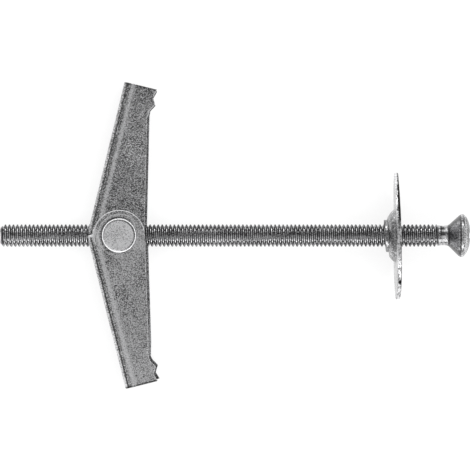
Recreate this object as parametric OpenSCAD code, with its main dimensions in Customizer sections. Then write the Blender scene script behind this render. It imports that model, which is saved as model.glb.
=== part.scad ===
// A spring toggle bolt: a long screw with a raised countersunk head, a loose cup washer, and a
// trunnion nut that carries a pair of folding channel wings and the spring that opens them.
//
// All sizes are millimetres. The shape modules share one frame: X runs along the screw towards
// its head, Z runs along the nut, and the origin is where the two axes cross. laid() then puts
// the whole bolt down as it rests, on the nut's lower head and the washer's rim.

/* [Screw] */
// Length of the screw from its tip to the widest edge of its head
screw_len = 80; // [70:0.5:120]
// Outer diameter of the thread
thread_d = 3.86; // [3.4:0.02:4.4]
// Diameter of the flat at the tip
tip_d = 2; // [1:0.1:3]
// Length of the chamfer at the tip
tip_len = 0.7; // [0.3:0.05:1.5]
// Diameter of the plain neck under the head
neck_d = 3.3; // [2.8:0.05:3.4]
// Length of the plain neck
neck_len = 2.1; // [1:0.1:6]

/* [Screw head] */
// Diameter of the head
head_d = 7.5; // [6.6:0.1:8.4]
// Half the angle of the countersunk cone
cone_half_angle = 45; // [40:1:50]
// Width of the cylindrical land around the head
head_land = 0.3; // [0.1:0.05:0.6]
// Height of the raised face over the land
lens_h = 1.2; // [0.6:0.05:1.8]
// Width of the cross recess across its arms
recess_d = 4.6; // [3.6:0.1:5]
// Width of one arm of the cross recess
recess_arm = 1; // [0.6:0.05:1.3]
// Depth of the cross recess under the top of the head
recess_depth = 2.4; // [1.6:0.1:2.8]

/* [Cup washer] */
// Outer diameter of the washer
washer_d = 22; // [16:0.5:30]
// Thickness of the washer's sheet
washer_t = 0.7; // [0.5:0.01:1]
// Diameter of the cup where it meets the flat ring
cup_d = 9.3; // [8.6:0.1:11]
// Depth of the cup, with its lip, past the bearing face
cup_depth = 1.9; // [1.6:0.05:2.4]
// Outer diameter of the lip around the hole
lip_d = 5.6; // [5.3:0.05:6]
// Length of the lip
lip_len = 0.6; // [0.3:0.05:0.7]
// Radial play between the washer's hole and the thread
washer_play = 0.27; // [0.1:0.01:0.4]
// Distance from the head's widest edge back to the washer's bearing face
washer_back = 11.2; // [4:0.1:20]

/* [Wings] */
// Length of a wing from its pivot to its tip
wing_len = 25.8; // [20:0.2:32]
// Thickness of the wing's sheet
wing_t = 0.75; // [0.5:0.01:0.9]
// Inner width of the folded channel
channel_w = 8.4; // [7.8:0.1:10]
// Radius inside the channel's folds
fold_r = 0.5; // [0.3:0.05:0.6]
// Radius of the round end about the pivot
end_r = 4.4; // [4:0.05:5]
// Angle that an open wing leans from square to the screw
wing_lean = 14.2; // [6:0.2:20]
// Angle between a flange's free edge and the web
edge_taper = 12.7; // [11:0.1:14]
// Spacing of the teeth that bite the wall
tooth_pitch = 2.3; // [1.6:0.1:2.8]
// Height of a tooth over the roots beside it
tooth_h = 0.68; // [0.3:0.02:1]
// How far the roots of the teeth stay behind the line through the pivot
root_back = 0.16; // [0:0.02:0.3]
// Share of a tooth's height that is left at the wing's cut end
end_tooth_share = 0.44; // [0.2:0.02:1]

/* [Trunnion nut] */
// Position of the nut's axis from the tip of the screw
nut_from_tip = 20.9; // [6:0.1:40]
// Diameter of the barrel between the flanges
barrel_d = 6.8; // [6.4:0.05:7]
// Diameter of the journals in the wings' holes
journal_d = 5.4; // [4.8:0.05:5.6]
// Diameter of the staked heads that hold the wings on
stake_d = 6.05; // [5.8:0.05:6.6]
// Thickness of a staked head
stake_t = 0.35; // [0.25:0.01:0.6]
// Chamfer around a staked head
stake_chamfer = 0.22; // [0.05:0.01:0.24]

/* [Spring] */
// Diameter of the spring's wire
wire_d = 0.5; // [0.3:0.01:0.52]
// Whole turns of each coil, beside the part turn between its legs
coil_turns = 2; // [1:1:2]
// Length of the spring's legs along the wings, from the pivot
leg_len = 9; // [6:0.2:14]
// Inner radius of the bridge's corners
bridge_r = 0.8; // [0.4:0.1:1.4]

/* [Fits] */
// Running clearance, of the nut on the screw and the wings on the nut
run_play = 0.05; // [0.02:0.01:0.1]
// Side play of the wings between barrel and staked heads
side_play = 0.05; // [0.02:0.01:0.1]
// Gap between flanges that lie side by side
flange_gap = 0.1; // [0.05:0.01:0.15]
// Gap between one wing's round end and the other wing's web
end_gap = 0.25; // [0.2:0.01:0.4]
// Gap between an open wing's web and the middle plane that stops it
stop_gap = 0.05; // [0.02:0.01:0.1]
// Gap around the screw in the notch of a web
notch_gap = 0.37; // [0.2:0.01:0.6]
// Gap between the spring's coils
coil_gap = 0.02; // [0.01:0.01:0.05]
// Radial play of the spring's coils on the barrel
coil_play = 0.1; // [0.08:0.01:0.2]
// Gap between the spring's legs and the webs that they push
leg_gap = 0.05; // [0.02:0.01:0.1]

/* [Hidden] */
$fn = 64;
tiny = 0.01;
cut_over = 1;

// Places along the screw
tip_x = -nut_from_tip;
head_x = screw_len - nut_from_tip;
washer_x = head_x - washer_back;
cone_x = head_x - (head_d - neck_d) / 2 / tan(cone_half_angle);
neck_x = cone_x - neck_len;
land_x = head_x + head_land;
crown_x = land_x + lens_h;
lens_r = (pow(head_d / 2, 2) + pow(lens_h, 2)) / (2 * lens_h);

// Wings: the two channels are alike and lie one flange apart along the pivot
web_far = end_r + end_gap + wing_t;
web_near = web_far - wing_t;
flange_step = wing_t + flange_gap;
channel_half = channel_w / 2 + wing_t;
web_start = (stop_gap - web_near * sin(wing_lean)) / cos(wing_lean);
notch_w = thread_d + 2 * notch_gap;
notch_end = (notch_w / 2 - web_near * sin(wing_lean)) / cos(wing_lean);

// Nut: the barrel fills the width that both channels share
barrel_half = channel_w / 2 - flange_step / 2 - side_play;
journal_half = channel_half + flange_step / 2 + side_play;
nut_half = journal_half + stake_t;
bore_d = thread_d + 2 * run_play;

// Spring: coils beside the screw, legs on the webs
coil_r = barrel_d / 2 + coil_play + wire_d / 2;
coil_pitch = wire_d + coil_gap;
leg_n = web_near - leg_gap - wire_d / 2;
leg_out_z = barrel_half + side_play - wire_d / 2 - fold_r * (1 - sqrt(0.5));
wire_sides = 8;
coil_step = 20;
bridge_steps = 4;

// Rest: the edge of the nut's lower head and the washer's rim touch the ground
stake_edge_r = stake_d / 2 - stake_chamfer;
lie_angle = atan((washer_d / 2 - nut_half) / (washer_x + stake_edge_r));
rest_z = nut_half * cos(lie_angle) + stake_edge_r * sin(lie_angle);
front_x = (land_x + lens_h - lens_r) * cos(lie_angle) + lens_r;
back_x = tip_x * cos(lie_angle) - tip_d / 2 * sin(lie_angle);
middle_x = (front_x + back_x) / 2;

module laid() {
    translate([-middle_x, 0, rest_z])
        rotate([0, -lie_angle, 0])
            children();
}

// Turns a profile, drawn as radius and position, about the screw's axis
module turned() {
    rotate([0, 90, 0])
        rotate_extrude()
            children();
}

// ---------------------------------------------------------------- screw

module screw_profile() {
    polygon([
        [0, tip_x],
        [tip_d / 2, tip_x],
        [thread_d / 2, tip_x + tip_len],
        [thread_d / 2, neck_x],
        [neck_d / 2, neck_x + (thread_d - neck_d) / 2],
        [neck_d / 2, cone_x],
        [head_d / 2, head_x],
        [head_d / 2, land_x],
        [0, land_x],
    ]);
    intersection() {
        translate([0, crown_x - lens_r])
            circle(r = lens_r);
        translate([0, land_x - tiny])
            square([head_d / 2, lens_h + 2 * tiny]);
    }
}

// Cross-shaped recess whose arms run in towards its floor, with a small drilled point
module cross_recess() {
    floor_r = recess_d / 2 - recess_depth * tan(26);
    top_r = recess_d / 2 + cut_over * tan(26);
    translate([crown_x - recess_depth, 0, 0])
        rotate([0, 90, 0]) {
            intersection() {
                cylinder(r1 = floor_r, r2 = top_r, h = recess_depth + cut_over);
                union() {
                    for (turn = [0, 90])
                        rotate(turn)
                            translate([-recess_d, -recess_arm / 2, 0])
                                cube([2 * recess_d, recess_arm, recess_depth + cut_over]);
                    cylinder(r = recess_arm * 0.8, h = recess_depth + cut_over);
                }
            }
            translate([0, 0, -recess_arm / 4])
                cylinder(r1 = recess_arm / 8, r2 = recess_arm / 2, h = recess_arm / 4 + tiny);
        }
}

module screw() {
    color("silver")
        difference() {
            turned()
                screw_profile();
            cross_recess();
        }
}

// ---------------------------------------------------------------- cup washer

// Points of an arc from one angle to another about a centre
function arc(centre, r, from, to, steps = 8) = [
    for (i = [0:steps])
        let (a = from + (to - from) * i / steps)
        centre + r * [cos(a), sin(a)]
];

// Radius of the cup's inner cone at a distance past the bearing face, on the head's side
cone_shift = washer_t / cos(cone_half_angle);
function cup_inside_r(x) = cup_d / 2 - cone_shift + x * tan(cone_half_angle);

module washer_profile() {
    hole_r = thread_d / 2 + washer_play;
    hole_x = (hole_r - cup_inside_r(0)) / tan(cone_half_angle);
    neck_end = lip_len - cup_depth;
    // The cup's outside bulges: an arc from the bearing face to the root of the lip
    foot = [lip_d / 2 + 0.3, neck_end];
    rim = [cup_d / 2, 0];
    chord = norm(rim - foot);
    bulge = 0.15;
    bulge_r = chord * chord / (8 * bulge) + bulge / 2;
    chord_a = atan2(rim[1] - foot[1], rim[0] - foot[0]);
    half_a = asin(chord / 2 / bulge_r);
    mid = (rim + foot) / 2;
    centre = mid + (bulge_r - bulge) * [cos(chord_a + 90), sin(chord_a + 90)];
    // The mouth of the cup turns into the flat ring over a small bend
    mouth_r = 0.6;
    mouth = [cup_inside_r(washer_t), washer_t];
    mouth_back = mouth_r * tan((90 - cone_half_angle) / 2);
    mouth_centre = mouth + [mouth_back, -mouth_r];
    polygon(concat(
        [[washer_d / 2, washer_t], [washer_d / 2, 0]],
        arc(centre, bulge_r, chord_a - 90 + half_a, chord_a - 90 - half_a),
        [[lip_d / 2, neck_end], [lip_d / 2, -cup_depth], [hole_r, -cup_depth], [hole_r, hole_x]],
        arc(mouth_centre, mouth_r, 180 - cone_half_angle, 90, 5)
    ));
}

module cup_washer() {
    color("lightgray")
        translate([washer_x, 0, 0])
            turned()
                washer_profile();
}

// ---------------------------------------------------------------- wings
// A wing is drawn with its pivot at the origin, its length along Y and its web at negative X.

// A rectangle from x0 to x1 whose corners at x0 are round
module round_backed(x0, x1, half_w, r) {
    translate([x0 + r, -half_w])
        square([x1 - x0 - r, 2 * half_w]);
    translate([x0, r - half_w])
        square([r, 2 * (half_w - r)]);
    for (side = [-1, 1])
        translate([x0 + r, side * (half_w - r)])
            circle(r = r);
}

// The sheet folded into a channel, open towards positive X
module folded_channel() {
    translate([0, -end_r - cut_over, 0])
        rotate([-90, 0, 0])
            linear_extrude(height = wing_len + end_r + 2 * cut_over)
                difference() {
                    round_backed(-web_far, end_r + cut_over, channel_half, fold_r + wing_t);
                    round_backed(-web_near, end_r + 2 * cut_over, channel_w / 2, fold_r);
                }
}

// The side view of a wing: round end, tapering free edge and the teeth at the tip
module side_outline() {
    root_x = -root_back;
    tooth_y = wing_len - 1.5 * tooth_pitch;
    edge_end_y = tooth_y - tooth_pitch / 4;
    circle(r = end_r);
    polygon([
        [end_r * cos(edge_taper), end_r * sin(edge_taper)],
        [end_r / cos(edge_taper) - edge_end_y * tan(edge_taper), edge_end_y],
        [root_x, tooth_y],
        [root_x + tooth_h, tooth_y + tooth_pitch / 2],
        [root_x, tooth_y + tooth_pitch],
        [root_x + tooth_h * end_tooth_share, wing_len],
        [-web_far - cut_over, wing_len],
        [-web_far - cut_over, web_start],
        [0, web_start],
    ]);
}

module wing() {
    difference() {
        intersection() {
            folded_channel();
            linear_extrude(height = 2 * channel_half + cut_over, center = true)
                side_outline();
        }
        cylinder(d = journal_d + 2 * run_play, h = 2 * channel_half + cut_over, center = true);
        // Notch that clears the screw, round at its end
        translate([-web_far - cut_over, 0, flange_step / 2])
            rotate([0, 90, 0])
                linear_extrude(height = wing_t + fold_r + cut_over) {
                    translate([0, notch_end - notch_w / 2])
                        circle(d = notch_w);
                    translate([-notch_w / 2, web_start - notch_w])
                        square([notch_w, notch_end - web_start + notch_w / 2]);
                }
    }
}

// The rear wing as it stands open. The front wing is the same wing turned half over
module open_wing() {
    rotate([0, 0, -wing_lean])
        translate([0, 0, -flange_step / 2])
            wing();
}

module rear_wing() {
    color("darkgray")
        open_wing();
}

module front_wing() {
    color("darkgray")
        rotate([180, 0, 0])
            open_wing();
}

// ---------------------------------------------------------------- trunnion nut

module trunnion_nut() {
    color("gainsboro")
        difference() {
            rotate_extrude()
                polygon([
                    [0, -nut_half],
                    [stake_edge_r, -nut_half],
                    [stake_d / 2, stake_chamfer - nut_half],
                    [stake_d / 2, -journal_half],
                    [journal_d / 2, -journal_half],
                    [journal_d / 2, -barrel_half],
                    [barrel_d / 2, -barrel_half],
                    [barrel_d / 2, barrel_half],
                    [journal_d / 2, barrel_half],
                    [journal_d / 2, journal_half],
                    [stake_d / 2, journal_half],
                    [stake_d / 2, nut_half - stake_chamfer],
                    [stake_edge_r, nut_half],
                    [0, nut_half],
                ]);
            rotate([0, 90, 0])
                cylinder(d = bore_d, h = barrel_d + 2 * cut_over, center = true);
        }
}

// ---------------------------------------------------------------- torsion spring

// A point of the rear wing's middle plane, from its offset off the web and its distance along it
function on_rear(n, s) = [
    n * cos(wing_lean) + s * sin(wing_lean),
    s * cos(wing_lean) - n * sin(wing_lean)
];
function mirrored(p) = [p[0], -p[1]];
function angle_of(p) = atan2(p[1], p[0]);
function reversed(list) = [for (i = [len(list) - 1:-1:0]) list[i]];

// The rear leg leaves its coil on the tangent that reaches the web at the leg's end
leg_end = on_rear(-leg_n, leg_len);
leg_angle = angle_of(leg_end) + acos(coil_r / norm(leg_end));
leg_root = coil_r * [cos(leg_angle), sin(leg_angle)];
leg_run = (leg_end - leg_root) / norm(leg_end - leg_root);
coil_sweep = 360 * coil_turns + 2 * (180 - leg_angle);
leg_in_z = leg_out_z - coil_pitch * coil_sweep / 360;
corner_r = bridge_r + wire_d / 2;

// One side of the spring, from the tip of its front leg to the middle of the bridge
function spring_half() = concat(
    [concat(mirrored(leg_end), leg_out_z)],
    [for (i = [0:ceil(coil_sweep / coil_step)])
        let (part = i / ceil(coil_sweep / coil_step))
        let (a = -leg_angle - coil_sweep * part)
        [coil_r * cos(a), coil_r * sin(a), leg_out_z - (leg_out_z - leg_in_z) * part]],
    [for (i = [0:bridge_steps])
        let (a = 90 * i / bridge_steps)
        let (p = leg_end - leg_run * corner_r * (1 - sin(a)))
        [p[0], p[1], leg_in_z - corner_r * (1 - cos(a))]]
);

function spring_path() =
    let (half = spring_half())
    concat(half, reversed([for (p = half) [p[0], p[1], -p[2]]]));

// A round bar along a path: each ring stands square to the path, and is carried on without twist
module swept(path, d) {
    last = len(path) - 1;
    runs = [for (i = [0:last])
        let (run = path[min(i + 1, last)] - path[max(i - 1, 0)])
        run / norm(run)];
    function squared(v, run) = let (w = v - run * (v * run)) w / norm(w);
    ups = [for (i = 0, up = squared([0, 0, 1], runs[0]); i <= last;
                i = i + 1, up = i <= last ? squared(up, runs[i]) : up) up];
    points = [for (i = [0:last])
        let (across = cross(runs[i], ups[i]))
        for (k = [0:wire_sides - 1])
            path[i] + d / 2 * (cos(360 * k / wire_sides) * ups[i]
                + sin(360 * k / wire_sides) * across)];
    sides = [for (i = [0:last - 1])
        for (k = [0:wire_sides - 1])
            let (next = (k + 1) % wire_sides)
            [i * wire_sides + k, i * wire_sides + next,
                (i + 1) * wire_sides + next, (i + 1) * wire_sides + k]];
    ends = [
        [for (k = [wire_sides - 1:-1:0]) k],
        [for (k = [0:wire_sides - 1]) last * wire_sides + k],
    ];
    polyhedron(points, concat(sides, ends));
}

module torsion_spring() {
    color("dimgray")
        swept(spring_path(), wire_d);
}

// ---------------------------------------------------------------- the part

laid() screw();
laid() cup_washer();
laid() trunnion_nut();
laid() rear_wing();
laid() front_wing();
laid() torsion_spring();
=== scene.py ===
"""A spring toggle bolt lying on a pale floor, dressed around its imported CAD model.

Shapes are drawn in millimetres in the bolt's own frame: X runs along the screw towards its head,
Z along the nut's pivot, Y along the rear wing, and the origin is the pivot. LAID then puts them
into the row frame, in metres, where the CAD solids are.
"""
from math import acos, asin, atan, atan2, ceil, cos, degrees, dist, hypot, pi, radians, sin, sqrt, tan

import bmesh
import bpy
import numpy as np
from mathutils import Matrix, Vector, geometry, noise


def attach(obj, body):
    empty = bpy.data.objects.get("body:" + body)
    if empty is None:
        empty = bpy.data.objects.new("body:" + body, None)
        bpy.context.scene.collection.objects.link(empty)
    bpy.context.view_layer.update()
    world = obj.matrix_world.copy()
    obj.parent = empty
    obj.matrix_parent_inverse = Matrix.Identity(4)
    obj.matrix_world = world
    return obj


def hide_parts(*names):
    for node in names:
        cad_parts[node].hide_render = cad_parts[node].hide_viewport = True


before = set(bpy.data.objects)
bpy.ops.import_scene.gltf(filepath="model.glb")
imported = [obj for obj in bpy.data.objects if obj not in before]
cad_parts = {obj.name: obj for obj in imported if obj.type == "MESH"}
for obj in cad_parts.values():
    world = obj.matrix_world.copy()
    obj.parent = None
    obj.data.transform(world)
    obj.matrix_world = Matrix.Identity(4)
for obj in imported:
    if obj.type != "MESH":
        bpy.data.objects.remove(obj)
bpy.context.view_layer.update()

# -------- sizes

# Most are the part's own. The neck, the tip, the washer's hole and the free edges' taper follow the
# one bolt that is shown, which isn't quite regular.
TIP_X = -20.9
TIP_FACE_R = 1.3
TIP_CHAMFER = 0.55
RUN_OUT_X = 55.4
HEAD_X = 59.1
LAND_X = 59.4
CONE_X = 57.0
CROWN_X = 60.6
LENS_R = 6.459
HEAD_R = 3.75
NECK_R = 1.73
THREAD_R = 1.93
WASHER_X = 47.9
WASHER_R = 11.0
WASHER_T = 0.7
CUP_DEPTH = 1.9
CUP_R = 4.65
LIP_R = 2.8
LIP_LEN = 0.6
HOLE_R = 2.35
WEB_NEAR = 4.65
SHEET_T = 0.75
CHANNEL_W = 8.4
END_R = 4.4
WING_LEN = 25.8
WING_LEAN = radians(14.2)
EDGE_TAPER = radians(12.4)
TOOTH_PITCH = 2.3
TOOTH_H = 0.68
ROOT_BACK = 0.16
END_TOOTH_SHARE = 0.44
FLANGE_STEP = 0.85
STOP_GAP = 0.05
NOTCH_W = 4.6
BARREL_R = 3.4
BARREL_HALF = 3.725
JOURNAL_R = 2.7
JOURNAL_HALF = 5.425
NUT_HALF = 5.775
STAKE_R = 3.025
STAKE_CHAMFER = 0.22
STAKE_OFF_X = 0.07
BORE_R = 1.98
WIRE_D = 0.5
COIL_R = 3.75
COIL_PITCH = 0.52
LEG_LEN = 9.0
LEG_N = 4.35
LEG_OUT_Z = 3.379
BRIDGE_R = 1.05

# The bolt rests on the rim of the nut's lower head and on the washer's rim
STAKE_EDGE_R = STAKE_R - STAKE_CHAMFER
LIE = atan((WASHER_R - NUT_HALF) / (WASHER_X + STAKE_EDGE_R))
REST_Z = NUT_HALF * cos(LIE) + STAKE_EDGE_R * sin(LIE)
FRONT_X = (CROWN_X - LENS_R) * cos(LIE) + LENS_R
BACK_X = TIP_X * cos(LIE) - sin(LIE)
MIDDLE_X = (FRONT_X + BACK_X) / 2
TURNED_DOWN = Matrix.Rotation(-LIE, 4, "Y")
LAID = Matrix.Scale(0.001, 4) @ Matrix.Translation((-MIDDLE_X, 0, REST_Z)) @ TURNED_DOWN

# Thread: metric coarse pitch, and a crest on the screw's top line as the visible one lies.
# THREAD_FORM is one pitch of its outline, as (place, radius).
PITCH = 0.7
CREST_X = 49.29
THREAD_FORM = [
    (0.0, 1.93), (0.06, 1.925), (0.1, 1.895), (0.19, 1.74), (0.28, 1.58), (0.32, 1.53),
    (0.35, 1.52), (0.38, 1.53), (0.42, 1.58), (0.51, 1.74), (0.6, 1.895), (0.64, 1.925),
]


def smoothstep(edge0, edge1, x):
    t = np.clip((x - edge0) / (edge1 - edge0), 0.0, 1.0)
    return t * t * (3 - 2 * t)


def waver(points, scale, seed):
    """Smooth noise from -1 to 1 at each point, with bumps about scale millimetres across."""
    shift = Vector((seed * 17.3, seed * 5.1, seed * 29.7))
    return np.array([noise.noise(Vector(p) / scale + shift) for p in points])


# -------- building meshes

def new_mesh(name, points, faces):
    """A mesh in millimetres, with doubled points joined and its sides facing out."""
    mesh = bpy.data.meshes.new(name)
    mesh.from_pydata([tuple(p) for p in points], [], faces)
    shape = bmesh.new()
    shape.from_mesh(mesh)
    bmesh.ops.remove_doubles(shape, verts=shape.verts, dist=0.0005)
    bmesh.ops.dissolve_degenerate(shape, dist=0.0002, edges=shape.edges)
    bmesh.ops.recalc_face_normals(shape, faces=shape.faces)
    shape.to_mesh(mesh)
    shape.free()
    return mesh


def placed(name, mesh):
    thing = bpy.data.objects.new(name, mesh)
    bpy.context.scene.collection.objects.link(thing)
    return thing


def cut(target, cutter):
    """Takes the cutter away from the target's mesh."""
    modifier = target.modifiers.new("cut", "BOOLEAN")
    modifier.operation = "DIFFERENCE"
    modifier.solver = "EXACT"
    modifier.object = cutter
    bpy.context.view_layer.update()
    seen = target.evaluated_get(bpy.context.evaluated_depsgraph_get())
    mesh = bpy.data.meshes.new_from_object(seen)
    target.modifiers.clear()
    target.data = mesh
    bpy.data.objects.remove(cutter)


def points_of(mesh):
    points = np.zeros(len(mesh.vertices) * 3)
    mesh.vertices.foreach_get("co", points)
    return points.reshape(-1, 3)


def set_points(mesh, points):
    mesh.vertices.foreach_set("co", points.ravel())


def paint(mesh, values, layer_name="tone"):
    """Keeps a value per point: lighter by painted light, shade and own tone (tone), or nicked (scuff)."""
    layer = mesh.attributes.new(layer_name, "FLOAT", "POINT")
    layer.data.foreach_set("value", values.astype(np.float32))


def hump(x, middle, width):
    """A smooth bump of height 1 at the middle."""
    return np.exp(-((x - middle) / width) ** 2)


def plateau(x, a, b, c, d):
    """1 from b to c, and 0 outside a to d, with smooth sides."""
    return smoothstep(a, b, x) * (1 - smoothstep(c, d, x))


def dress(thing, body, materials, replaced=(), sharp=38):
    """Lays a finished shape down, shades it and puts it on its body."""
    mesh = thing.data
    mesh.transform(LAID)
    mesh.shade_smooth()
    mesh.set_sharp_from_angle(angle=radians(sharp))
    mesh.materials.clear()
    for material in materials:
        mesh.materials.append(material)
    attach(thing, body)
    if replaced:
        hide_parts(*replaced)


def grid_faces(rows, columns, closed_rows=False, first=0):
    """Quads over a grid of points, row after row, whose columns close round."""
    faces = []
    for i in range(rows if closed_rows else rows - 1):
        low = first + i * columns
        high = first + (i + 1) % rows * columns
        for j in range(columns):
            k = (j + 1) % columns
            faces.append((low + j, low + k, high + k, high + j))
    return faces


def turned(profile, columns, closed=False, about_pivot=False):
    """Points and faces of a profile, as (place, radius), turned about the screw or the pivot."""
    angles = 2 * pi * np.arange(columns) / columns
    points = []
    for place, radius in profile:
        for a in angles:
            y = radius * cos(a)
            z = radius * sin(a)
            points.append((z, y, place) if about_pivot else (place, y, z))
    return points, grid_faces(len(profile), columns, closed)


def joined(parts):
    """Several parts' points and faces as one."""
    points = []
    faces = []
    for part_points, part_faces in parts:
        first = len(points)
        points += part_points
        faces += [tuple(first + i for i in f) for f in part_faces]
    return points, faces


def arc_between(start, corner, end, steps):
    """A smooth bend from start to end that heads for the corner at both ends."""
    points = []
    for i in range(steps + 1):
        t = i / steps
        a, b, c = (1 - t) ** 2, 2 * t * (1 - t), t * t
        place = a * start[0] + b * corner[0] + c * end[0]
        points.append((place, a * start[1] + b * corner[1] + c * end[1]))
    return points


# -------- materials

def node_of(tree, kind, inputs=(), **settings):
    """A new shader node with its settings, and inputs that are sockets or plain values."""
    node = tree.nodes.new("ShaderNode" + kind)
    for name, value in settings.items():
        setattr(node, name, value)
    for name, value in inputs:
        if isinstance(value, bpy.types.NodeSocket):
            tree.links.new(value, node.inputs[name])
        else:
            node.inputs[name].default_value = value
    return node


def grey(value):
    return (value, value, value * 1.015, 1.0)


PER_MM = 1000
CLOUD_SIZE = 2.5
NICK_SIZE = 0.19


def zinc(name, dark, light, speck, roughness, bump, metallic=1.0):
    """Zinc-plated steel: fine crystals speck millimetres across, clouds and an uneven gloss.

    dark and light are the crystals' greys. The mesh's own layers add to them: tone shifts the
    whole grey, with painted light and shade besides random tone, and scuff adds small bright nicks.
    """
    material = bpy.data.materials.new(name)
    material.use_nodes = True
    tree = material.node_tree
    shader = tree.nodes["Principled BSDF"]
    place = node_of(tree, "TexCoord").outputs["Object"]

    def noise_of(size, detail, roughness=0.5):
        return node_of(tree, "TexNoise", [
            ("Vector", place), ("Scale", PER_MM / size), ("Detail", detail),
            ("Roughness", roughness)]).outputs["Fac"]

    def layer_of(layer):
        return node_of(tree, "Attribute", attribute_name=layer).outputs["Fac"]

    crystal = node_of(tree, "TexVoronoi", [("Vector", place), ("Scale", 0.7 * PER_MM / speck)])
    blended = node_of(tree, "Mix", [
        ("Factor", 0.2), ("A", noise_of(speck, 2.0)), ("B", noise_of(CLOUD_SIZE, 4.0, 0.55))])
    stepped = node_of(tree, "Mix", [
        ("Factor", 0.16), ("A", blended.outputs["Result"]), ("B", crystal.outputs["Distance"])])
    toned = node_of(tree, "Math", [(0, stepped.outputs["Result"]), (1, layer_of("tone"))], operation="ADD")
    nicks = node_of(tree, "MapRange", [
        ("Value", noise_of(NICK_SIZE, 0.0)), ("From Min", 0.62), ("From Max", 0.68),
        ("To Min", 0.0), ("To Max", 0.7)])
    toned = node_of(tree, "Math", [
        (0, nicks.outputs["Result"]), (1, layer_of("scuff")), (2, toned.outputs[0])],
        operation="MULTIPLY_ADD")
    ramp = node_of(tree, "ValToRGB", [("Fac", toned.outputs[0])])
    stops = ramp.color_ramp.elements
    stops[0].position = 0.1
    stops[0].color = grey(dark * 0.2)
    stops[1].color = grey(min(0.96, light * 1.7))
    for position, value in ((0.43, dark), (0.57, light), (0.74, min(0.9, light * 1.4))):
        stops.new(position).color = grey(value)
    tree.links.new(ramp.outputs["Color"], shader.inputs["Base Color"])
    gloss = node_of(tree, "MapRange", [
        ("Value", blended.outputs["Result"]), ("From Min", 0.3), ("From Max", 0.7),
        ("To Min", roughness + 0.08), ("To Max", roughness - 0.06)])
    tree.links.new(gloss.outputs["Result"], shader.inputs["Roughness"])
    raised = node_of(tree, "Bump", [
        ("Height", stepped.outputs["Result"]), ("Strength", bump), ("Distance", 0.0001)])
    tree.links.new(raised.outputs["Normal"], shader.inputs["Normal"])
    shader.inputs["Metallic"].default_value = metallic
    return material


sheet_zinc = zinc("sheet_zinc", 0.11, 0.68, 0.17, 0.32, 1.0)
nut_zinc = zinc("nut_zinc", 0.2, 0.62, 0.22, 0.3, 0.5)
disc_zinc = zinc("disc_zinc", 0.5, 0.98, 0.19, 0.4, 0.8)
# A near-white zinc for the chamfer ring round each nut face: a painted highlight
rim_highlight_zinc = zinc("rim_highlight_zinc", 0.85, 0.95, 0.3, 0.35, 0.1, metallic=0.4)
thread_zinc = zinc("thread_zinc", 0.22, 0.7, 0.22, 0.2, 0.3)
head_zinc = zinc("head_zinc", 0.22, 0.6, 0.22, 0.2, 0.5)
washer_zinc = zinc("washer_zinc", 0.26, 0.72, 0.22, 0.26, 0.6)
torn_steel = zinc("torn_steel", 0.015, 0.06, 0.22, 0.6, 0.8, metallic=0.0)
wire_zinc = zinc("wire_zinc", 0.25, 0.5, 0.25, 0.3, 0.3)
torn_shader = torn_steel.node_tree.nodes["Principled BSDF"]
torn_shader.inputs["Specular IOR Level"].default_value = 0.1
# Worn crests mirror less than clean zinc where they are seen at a low angle
thread_shader = thread_zinc.node_tree.nodes["Principled BSDF"]
thread_shader.inputs["Specular Tint"].default_value = (0.35, 0.35, 0.35, 1)


# -------- screw

# FACE_R bounds the middle of the raised face, which holds the cross. CROSS_X is the cross's floor.
SCREW_COLUMNS = 60
FACE_R = 3.0
LENS_EDGE_R = HEAD_R - 0.02
LENS_HEIGHT = 1.38
CROSS_X = 58.45


def thread_mesh_parts():
    """Points and faces of the thread from the tip to its run-out, in rows that climb as it does."""
    columns = SCREW_COLUMNS
    turns = int((RUN_OUT_X - TIP_X) / PITCH) + 5
    first = CREST_X - PITCH * (ceil((CREST_X - TIP_X) / PITCH) + 2)
    base = np.array([first + PITCH * k + dx for k in range(turns) for dx, _ in THREAD_FORM])
    form = np.array([r for _ in range(turns) for _, r in THREAD_FORM])
    share = np.arange(columns) / columns
    x = np.clip(base[:, None] + PITCH * share[None, :], TIP_X, RUN_OUT_X)
    r = np.repeat(form[:, None], columns, axis=1)
    # The tip is chamfered, and the thread fades into the neck
    r = np.minimum(r, TIP_FACE_R + (x - TIP_X) / TIP_CHAMFER * (THREAD_R - TIP_FACE_R))
    fade = smoothstep(RUN_OUT_X - 0.62, RUN_OUT_X - 0.12, x)
    r = r * (1 - fade) + NECK_R * fade
    # Rolled threads aren't quite round
    angle = 2 * pi * share
    wave = 0.006 * np.sin(x * 1.9 + 2 * angle[None, :]) + 0.005 * np.sin(x * 5.3 + angle[None, :])
    r = np.minimum(r + wave * (1 - fade), THREAD_R)
    thread = np.stack([x, r * np.cos(angle), r * np.sin(angle)], axis=2)
    rows = len(base)
    step = len(THREAD_FORM)
    faces = []
    for i in range(rows - 1):
        for j in range(columns - 1):
            a, b = i * columns + j, (i + 1) * columns + j
            faces.append((a, a + 1, b + 1, b))
        # Once round, the thread has climbed by one pitch
        low = min(i + step, rows - 1) * columns
        high = min(i + 1 + step, rows - 1) * columns
        faces.append(((i + 1) * columns - 1, low, high, (i + 2) * columns - 1))
    return thread.reshape(-1, 3).tolist(), faces


def lens_x(radius):
    """Where the head's raised face stands at a radius."""
    return LAND_X + LENS_HEIGHT * max(0.0, 1 - (radius / LENS_EDGE_R) ** 2) ** 0.6


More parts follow.
